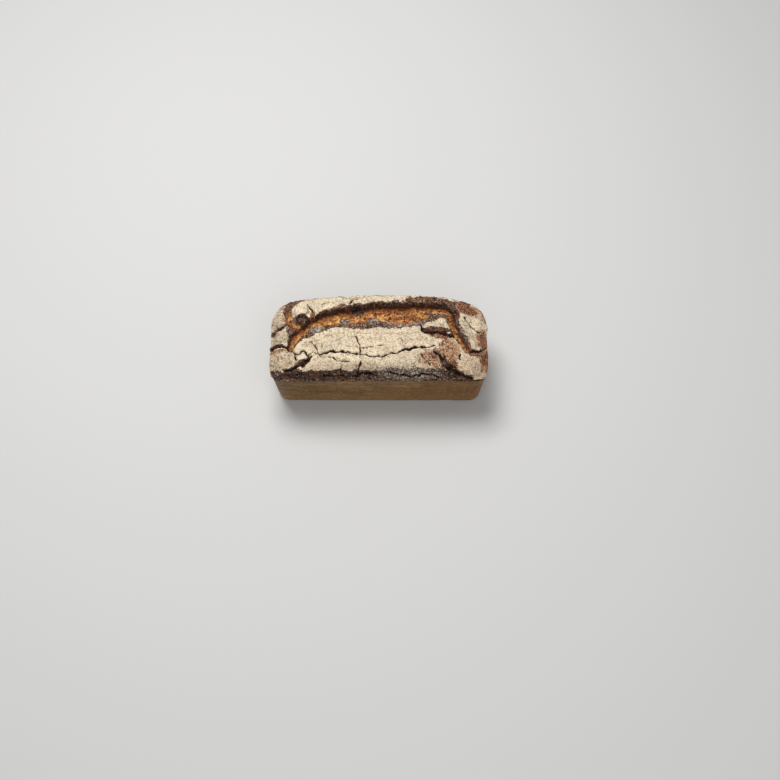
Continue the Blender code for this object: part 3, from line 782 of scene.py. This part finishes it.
def wall_ring(rim_points, facing, height):
    """The rim's outline moved in to the wall at a height above the base."""
    drop = 1 - height / RIM_HEIGHT
    radius = RIM_CORNER + (BASE_CORNER - RIM_CORNER) * drop
    half = np.array([RIM_LENGTH / 2, RIM_WIDTH / 2, RIM_HEIGHT])
    taper = np.array([END_TAPER, SIDE_TAPER, 0])
    shrink = (half - taper * drop - radius) / (half - RIM_CORNER)
    low = max(0.0, FOOT_RADIUS - height)
    foot = FOOT_RADIUS - math.sqrt(FOOT_RADIUS ** 2 - low ** 2)
    ring = (rim_points - facing * RIM_CORNER) * shrink + facing * (radius - foot)
    ring[:, 2] = height
    return ring


def wall_relief(travelled, height):
    """Shallow dents, creases and pits of the tin-baked wall, along the rim's length and the height."""
    dents = waves(travelled, height, DENTS) + waves(travelled, height * CREASE_SQUASH, CREASES)
    pitted = smooth(waves(travelled, height, PITTED, PITS_SHOWN))
    return dents + holes(travelled, height, WALL_PITS) * pitted


def wall_rings(rim, facing, travelled):
    """Rings of points down the tin-baked wall and in over the base, each with as many as the rim."""
    shares = np.linspace(0, 1, WALL_RINGS + 1)[1:-1]
    heights = list((RIM_HEIGHT - FOOT_RADIUS) * (1 - shares) + FOOT_RADIUS)
    heights += [FOOT_RADIUS * step for step in FOOT_STEPS]
    rings = []
    for height in heights:
        ring = wall_ring(rim, facing, height)
        strength = smooth((RIM_HEIGHT - height) / DENTS_FROM_RIM) * smooth(height / DENTS_FROM_BASE)
        relief = wall_relief(travelled, np.full(len(rim), height))
        ring += facing * (relief * strength - WALL_INSET * strength)[:, None]
        rings.append(ring)
    return rings + [rings[-1] * (1 - k / BASE_RINGS) for k in range(1, BASE_RINGS)]


def ring_faces(rim_count, first, ring_count):
    """Quads from the rim down through the rings, and triangles from the last ring to the last point."""
    polygons = []
    upper = np.arange(rim_count)
    for ring in range(ring_count):
        lower = np.arange(rim_count) + first + ring * rim_count
        for k in range(rim_count):
            after = (k + 1) % rim_count
            polygons.append([upper[k], lower[k], lower[after], upper[after]])
        upper = lower
    last = first + ring_count * rim_count
    return polygons + [[upper[k], last, upper[(k + 1) % rim_count]] for k in range(rim_count)]


def closed_mesh(points, polygons):
    """A mesh whose faces all point out."""
    mesh = bpy.data.meshes.new("loaf_crust")
    mesh.from_pydata(points.tolist(), [], polygons)
    bm = bmesh.new()
    bm.from_mesh(mesh)
    bmesh.ops.recalc_face_normals(bm, faces=bm.faces)
    bm.to_mesh(mesh)
    bm.free()
    return mesh


def loaf_mesh():
    """One closed mesh with its layers: torn top, tin-baked wall and flat base."""
    corners, _, faces = delaunay_2d_cdt([Vector(p) for p in plan_points()], [], [], 0, 1e-5)[:3]
    u, v = np.array([p[:] for p in corners]).T
    crust = Crust(u, v)
    rim_count = len(outline(0.0, RIM_STEP))
    nu, nv = outward(u[:rim_count], v[:rim_count])
    facing = np.stack([nu, nv, np.zeros(rim_count)], -1)
    travelled = np.arange(rim_count) * RIM_STEP
    rings = wall_rings(crust.points[:rim_count], facing, travelled)
    base_centre = np.zeros((1, 3))
    points = np.vstack([crust.points] + rings + [base_centre]) * MM
    mesh = closed_mesh(points, [list(face) for face in faces] + ring_faces(rim_count, len(u), len(rings)))
    below = len(points) - len(u)
    for name in ("char", "crumb", "bare", "dust_and_shade", "baked_and_shade", "painted_shade"):
        on_wall = np.full(below, float(name == "char"))
        add_layer(mesh, name, np.concatenate([getattr(crust, name), on_wall]))
    drop = RIM_HEIGHT - points[len(u):, 2] / MM
    around = np.concatenate([np.tile(travelled, len(rings)), [0.0]])
    # Painted shadow under the overhanging crust: the torn crust's colour reaches a little way down the wall
    tin = smooth((drop - waves(around, drop, RIM_SHADOW_WAVER, RIM_SHADOW_REACH)) / RIM_SHADOW_EDGE)
    add_layer(mesh, "tin", np.concatenate([np.zeros(len(u)), tin]))
    mesh.shade_smooth()
    return mesh


def add_layer(mesh, name, values):
    """Stores one value for each point of a mesh, for its material."""
    layer = mesh.attributes.new(name, "FLOAT", "POINT")
    layer.data.foreach_set("value", values.astype(np.float32))


class Nodes:
    """Short ways to build a material's node tree. Every position is in millimetres."""

    def __init__(self, material):
        material.use_nodes = True
        self.tree = material.node_tree
        self.shader = self.tree.nodes["Principled BSDF"]
        where = self.add("TexCoord", {}, "Object")
        self.place = self.add("VectorMath", {0: where, "Scale": 1 / MM}, 0, operation="SCALE")

    def add(self, kind, inputs, output, **settings):
        """A new node's output. Its inputs, by name or number, are linked or set to plain values."""
        node = self.tree.nodes.new("ShaderNode" + kind)
        for key, value in settings.items():
            setattr(node, key, value)
        for key, source in inputs.items():
            if isinstance(source, bpy.types.NodeSocket):
                self.tree.links.new(source, node.inputs[key])
            else:
                node.inputs[key].default_value = source
        return node.outputs[output]

    def to_shader(self, name, source):
        """Links an output to one of the shader's inputs."""
        self.tree.links.new(source, self.shader.inputs[name])

    def layer(self, name):
        """A value that the mesh holds for each point."""
        return self.add("Attribute", {}, "Fac", attribute_name=name)

    def stretched(self, x, y, z):
        """The position, scaled along each axis."""
        return self.add("VectorMath", {0: self.place, 1: (x, y, z)}, 0, operation="MULTIPLY")

    def along(self, axis):
        """The position along one axis."""
        return self.add("SeparateXYZ", {0: self.place}, axis)

    def noise(self, size, detail=2.0, rough=0.5, place=None, output="Fac"):
        """Cloudy noise from 0 to 1, its lumps about `size` wide."""
        inputs = {"Vector": place or self.place, "Scale": 1 / size, "Detail": detail, "Roughness": rough}
        return self.add("TexNoise", inputs, output)

    def cells(self, size, feature="F1", place=None):
        """Distance to the nearest of scattered points, or to the edge between two cells."""
        inputs = {"Vector": place or self.place, "Scale": 1 / size}
        return self.add("TexVoronoi", inputs, "Distance", feature=feature)

    def ramp(self, value, low, high):
        """0 at `low` and 1 at `high`, eased in between."""
        rising = float(low < high)
        inputs = {"Value": value, "From Min": min(low, high), "From Max": max(low, high),
                  "To Min": 1 - rising, "To Max": rising}
        return self.add("MapRange", inputs, "Result", interpolation_type="SMOOTHSTEP")

    def math(self, operation, a, b=0.0):
        return self.add("Math", {0: a, 1: b}, 0, operation=operation)

    def mix(self, share, a, b):
        """Colour a where share is 0, colour b where it is 1."""
        return self.add("Mix", {0: share, 6: a, 7: b}, 2, data_type="RGBA")

    def cover(self, colour, shade, strength, share):
        """A colour, turned towards a shade by a share of `strength`."""
        return self.mix(self.math("MULTIPLY", share, strength), colour, shade)

    def mottle(self, colour, shade, strength, low, high, **noise):
        """A colour with patches of a shade, where a noise passes from `low` to `high`."""
        return self.cover(colour, shade, strength, self.ramp(self.noise(**noise), low, high))

    def two_tone(self, first, second, low, high, **noise):
        """The first colour where a noise is below `low`, the second above `high`."""
        return self.mix(self.ramp(self.noise(**noise), low, high), first, second)


def rgb(red, green, blue):
    """A colour given in screen values from 0 to 255, as linear light."""
    def linear(value):
        value /= 255
        return value / 12.92 if value <= 0.04045 else ((value + 0.055) / 1.055) ** 2.4
    return (linear(red), linear(green), linear(blue), 1.0)


FLOUR = rgb(240, 221, 190)
FLOUR_WORN = rgb(224, 205, 173)
FLOUR_DUSTY_AND_SHADED = rgb(140, 128, 108)
FLOUR_THICK = rgb(242, 231, 211)
FLOUR_BROWNED = rgb(162, 132, 94)
FLOUR_PIT = rgb(112, 80, 52)
FLOUR_SPECK_AND_SHADE = rgb(92, 70, 50)
HAIRLINE = rgb(84, 54, 34)
CHAR_BLACK = rgb(18, 11, 9)
CHAR_BROWN = rgb(132, 84, 58)
CHAR_DUSTY = rgb(118, 106, 94)
CHAR_FLOURED = rgb(206, 192, 174)
CHAR_PAINTED_SHADE = rgb(20, 10, 7)
CRUMB_BROWN = rgb(132, 74, 42)
CRUMB_ORANGE = rgb(208, 146, 78)
CRUMB_REDDISH = rgb(190, 112, 70)
CRUMB_PAINTED_HIGHLIGHT = rgb(240, 190, 112)
CRUMB_PAINTED_PORE_SHADE = rgb(62, 28, 12)
CRUMB_TAN = rgb(134, 72, 42)
BAKED_AND_SHADED_DARK = rgb(70, 32, 18)
BAKED_AND_SHADED_LIGHT = rgb(158, 92, 54)
CRUMB_PAINTED_SHADE = rgb(34, 16, 10)
BARE_DARK = rgb(92, 50, 32)
BARE_LIGHT = rgb(168, 118, 84)
SEARED_DARK = rgb(66, 30, 16)
SEARED_LIGHT = rgb(146, 84, 52)
BARE_SPECK = rgb(214, 184, 148)
TIN_DARK = rgb(108, 80, 40)
TIN_LIGHT = rgb(156, 120, 66)
TIN_WARM = rgb(124, 80, 32)
TIN_RIGHT = rgb(122, 72, 22)
TIN_LEFT = rgb(100, 74, 34)
TIN_LOW = rgb(174, 130, 80)
TIN_GRAIN = rgb(180, 146, 98)
TIN_STAIN = rgb(70, 44, 22)
TIN_PIT = rgb(62, 38, 22)
FLOOR = rgb(214, 213, 211)
SPECULAR = 0.3
BUMP_STRENGTH = 0.6
BUMP_HEIGHT = 0.6


def hairlines(n):
    """Fine cracks in the flour, along the edges of cells whose places wander."""
    wander = n.noise(6, output="Color")
    shift = n.add("VectorMath", {0: wander, "Scale": 7.0}, 0, operation="SCALE")
    wandering = n.add("VectorMath", {0: n.place, 1: shift}, 0, operation="ADD")
    edge = n.cells(10.0, "DISTANCE_TO_EDGE", wandering)
    return n.math("MULTIPLY", n.ramp(edge, 0.03, 0.008), n.ramp(n.noise(9, 1), 0.46, 0.58))


def flour_colour(n, cracked):
    """Cream flour baked onto the crust, with worn spots, dark specks and hairline cracks, and grey with dark
    specks where shade is painted.
    """
    dust_and_shade = n.layer("dust_and_shade")
    colour = n.two_tone(FLOUR, FLOUR_WORN, 0.35, 0.7, size=14, detail=3)
    # Grey where dust lies, which at the left end and above the front band is painted shade
    colour = n.cover(colour, FLOUR_DUSTY_AND_SHADED, 0.62, dust_and_shade)
    colour = n.mottle(colour, FLOUR_THICK, 0.7, 0.5, 0.64, size=1.5, rough=0.7)
    colour = n.mottle(colour, FLOUR_BROWNED, 0.7, 0.5, 0.6, size=2.4, detail=3, rough=0.8)
    colour = n.cover(colour, FLOUR_PIT, 0.7, n.ramp(n.cells(1.9), 0.3, 0.14))
    # Dark specks where dust lies, thickest where shade is painted
    specks = n.ramp(n.noise(3.1, 3, 0.75), 0.53, 0.6)
    colour = n.cover(colour, FLOUR_SPECK_AND_SHADE, 1.1, n.math("MULTIPLY", specks, dust_and_shade))
    return n.cover(colour, HAIRLINE, 0.8, cracked)


def char_colour(n):
    """Dark torn crust, nearly black where shade is painted, with light specks where flour clings to it."""
    dust_and_shade = n.layer("dust_and_shade")
    colour = n.two_tone(CHAR_BLACK, CHAR_BROWN, 0.41, 0.6, size=4.2, detail=4, rough=0.75)
    colour = n.cover(colour, CHAR_DUSTY, 0.5, dust_and_shade)
    clings = n.ramp(n.math("ADD", n.noise(2.2, 3, 0.78), n.math("MULTIPLY", dust_and_shade, 0.09)), 0.592, 0.64)
    colour = n.cover(colour, CHAR_FLOURED, 0.85, clings)
    # Painted shade makes it nearly black under lips, in cuts and in the shaded spots
    return n.cover(colour, CHAR_PAINTED_SHADE, 0.92, n.layer("painted_shade"))


def crumb_colour(n):
    """Orange-brown crumb of the rift's floor, with painted highlights, painted shade in its pores and under
    the lip, and darker towards the outer lip, partly baked crust, partly painted shadow.
    """
    colour = n.two_tone(CRUMB_BROWN, CRUMB_ORANGE, 0.36, 0.62, size=6.0, detail=3, rough=0.6)
    colour = n.mottle(colour, CRUMB_REDDISH, 0.6, 0.5, 0.62, size=11.0)
    # Painted highlights on the crumb
    colour = n.mottle(colour, CRUMB_PAINTED_HIGHLIGHT, 0.9, 0.5, 0.62, size=3.8, detail=3, rough=0.7)
    # Painted shade in the crumb's pores
    colour = n.mottle(colour, CRUMB_PAINTED_PORE_SHADE, 0.95, 0.5, 0.4, size=4.8, detail=3, rough=0.7)
    colour = n.mottle(colour, CRUMB_TAN, 0.5, 0.5, 0.62, size=9.0)
    # Darker towards the outer lip: the more baked crust there, and painted shadow of the lip
    baked_and_shade = n.two_tone(BAKED_AND_SHADED_DARK, BAKED_AND_SHADED_LIGHT, 0.36, 0.62, size=3.0, detail=3, rough=0.6)
    colour = n.cover(colour, baked_and_shade, 0.8, n.layer("baked_and_shade"))
    # Painted shade under the lip and in cuts
    return n.cover(colour, CRUMB_PAINTED_SHADE, 0.9, n.layer("painted_shade"))


def bare_colour(n):
    """Reddish-brown crust that shows where the flour is thin, darker where it is rubbed off."""
    rubbed = n.ramp(n.layer("bare"), 0.74, 0.94)
    colour = n.two_tone(BARE_DARK, BARE_LIGHT, 0.42, 0.6, size=4.0, detail=3, rough=0.7)
    seared = n.two_tone(SEARED_DARK, SEARED_LIGHT, 0.42, 0.6, size=3.0, detail=3, rough=0.75)
    colour = n.cover(colour, seared, 0.85, rubbed)
    specks = n.ramp(n.noise(1.5, 2, 0.7), 0.48, 0.6)
    return n.mix(n.math("MULTIPLY", specks, n.ramp(rubbed, 1.6, -0.4)), colour, BARE_SPECK)


def tin_colour(n):
    """Even brown of the walls that baked against the tin, in faint level streaks."""
    streaks = n.stretched(0.35, 0.35, 1.8)
    colour = n.two_tone(TIN_DARK, TIN_LIGHT, 0.38, 0.62, size=12, detail=4, rough=0.65, place=streaks)
    colour = n.mottle(colour, TIN_WARM, 0.5, 0.46, 0.62, size=36)
    colour = n.cover(colour, TIN_RIGHT, 0.65, n.ramp(n.along("X"), 10, 90))
    colour = n.cover(colour, TIN_LEFT, 0.55, n.ramp(n.along("X"), -40, -100))
    colour = n.cover(colour, TIN_LOW, 0.5, n.ramp(n.along("Z"), 34, 6))
    colour = n.mottle(colour, TIN_GRAIN, 0.5, 0.46, 0.7, size=3.6, detail=5, rough=0.75)
    colour = n.mottle(colour, TIN_STAIN, 0.7, 0.54, 0.3, size=4.6, detail=5, rough=0.75)
    return n.cover(colour, TIN_PIT, 0.5, n.ramp(n.cells(3.4), 0.16, 0.05))


def loaf_material():
    """The loaf's one material: each kind of crust lies over the one before where its layer says."""
    material = bpy.data.materials.new("baked_crust")
    n = Nodes(material)
    char, crumb, bare, tin = (n.layer(name) for name in ("char", "crumb", "bare", "tin"))
    speckle = n.noise(1.1, 2, 0.65)
    shake = n.math("MULTIPLY", n.math("SUBTRACT", speckle, 0.5), 0.45)
    thin_flour = n.math("ADD", n.math("MULTIPLY", bare, 0.75), n.math("MULTIPLY", speckle, 0.7))
    torn = n.ramp(n.math("ADD", char, shake), 0.455, 0.545)
    open_crumb = n.ramp(n.math("ADD", crumb, shake), 0.44, 0.56)
    cracked = hairlines(n)
    colour = n.mix(n.ramp(thin_flour, 0.5, 0.88), flour_colour(n, cracked), bare_colour(n))
    colour = n.mix(torn, colour, char_colour(n))
    colour = n.mix(open_crumb, colour, crumb_colour(n))
    colour = n.mix(tin, colour, tin_colour(n))
    n.to_shader("Base Color", colour)
    n.to_shader("Roughness", n.ramp(tin, 3.2, -0.9))
    n.shader.inputs["Specular IOR Level"].default_value = SPECULAR
    grain = n.math("ADD", n.math("MULTIPLY", n.noise(0.9, 3, 0.6), 0.6), n.math("MULTIPLY", cracked, -0.6))
    rough = n.math("MULTIPLY", n.noise(1.6, 4, 0.7), n.math("MULTIPLY", torn, n.ramp(tin, 1, 0)))
    bump = {"Strength": BUMP_STRENGTH, "Distance": BUMP_HEIGHT * MM, "Height": n.math("ADD", grain, rough)}
    n.to_shader("Normal", n.add("Bump", bump, "Normal"))
    return material


def make_loaf():
    """The dressed loaf, in the place of its solid."""
    loaf = bpy.data.objects.new("loaf_crust", loaf_mesh())
    bpy.context.scene.collection.objects.link(loaf)
    loaf.data.materials.append(loaf_material())
    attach(loaf, "root")
    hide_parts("loaf")


def make_floor():
    """A plain pale floor, large enough to fill the view."""
    bpy.ops.mesh.primitive_plane_add(size=FLOOR_SIZE, location=(0, 0, -FLOOR_DROP))
    floor = bpy.context.object
    floor.name = "studio_floor"
    material = bpy.data.materials.new("floor_paint")
    material.use_nodes = True
    shader = material.node_tree.nodes["Principled BSDF"]
    shader.inputs["Base Color"].default_value = FLOOR
    shader.inputs["Roughness"].default_value = 0.9
    floor.data.materials.append(material)


def make_camera():
    """Looks down at the loaf so that the target falls on its place in the image."""
    focal = LENS / SENSOR * IMAGE_SIZE
    right = (TARGET_PIXEL[0] - IMAGE_SIZE / 2) / focal
    down = (TARGET_PIXEL[1] - IMAGE_SIZE / 2) / focal
    pitch = math.radians(VIEW_ELEVATION) + math.atan(-down)
    ahead = Vector((0, math.cos(pitch), -math.sin(pitch)))
    up = Vector((0, math.sin(pitch), math.cos(pitch)))
    ray = (ahead + Vector((right, 0, 0)) - up * down).normalized()
    data = bpy.data.cameras.new("view")
    data.lens = LENS
    data.sensor_width = SENSOR
    camera = bpy.data.objects.new("view", data)
    camera.location = Vector(VIEW_TARGET) - ray * VIEW_DISTANCE
    camera.rotation_euler = (math.pi / 2 - pitch, 0, 0)
    bpy.context.scene.collection.objects.link(camera)
    bpy.context.scene.camera = camera


def add_light(name, place, size, power, tint):
    """A square soft light that faces the loaf."""
    data = bpy.data.lights.new(name, "AREA")
    data.shape = "SQUARE"
    data.size = size
    data.energy = power
    data.color = tint
    light = bpy.data.objects.new(name, data)
    light.location = place
    light.rotation_euler = (Vector(VIEW_TARGET) - Vector(place)).to_track_quat("-Z", "Y").to_euler()
    bpy.context.scene.collection.objects.link(light)


def make_lights():
    """Soft studio light from the back left and the front, and some from all round."""
    for light in LIGHTS:
        add_light(*light)
    world = bpy.data.worlds.new("studio")
    world.use_nodes = True
    background = world.node_tree.nodes["Background"]
    background.inputs["Color"].default_value = WORLD_COLOUR
    background.inputs["Strength"].default_value = WORLD_STRENGTH
    bpy.context.scene.world = world
    bpy.context.scene.view_settings.view_transform = "Standard"


RIFT_LINES = [densify(route, LINE_STEP) for route in (RIFT, RIFT_ARM)]
CRACK_LINES = [densify(route, LINE_STEP) for route in CRACKS]
WRINKLE_LINE = densify(WRINKLE, LINE_STEP)
for line in CRACK_LINES:
    line[:, 2] *= CRACK_WIDEN

make_camera()
make_lights()
make_floor()
make_loaf()
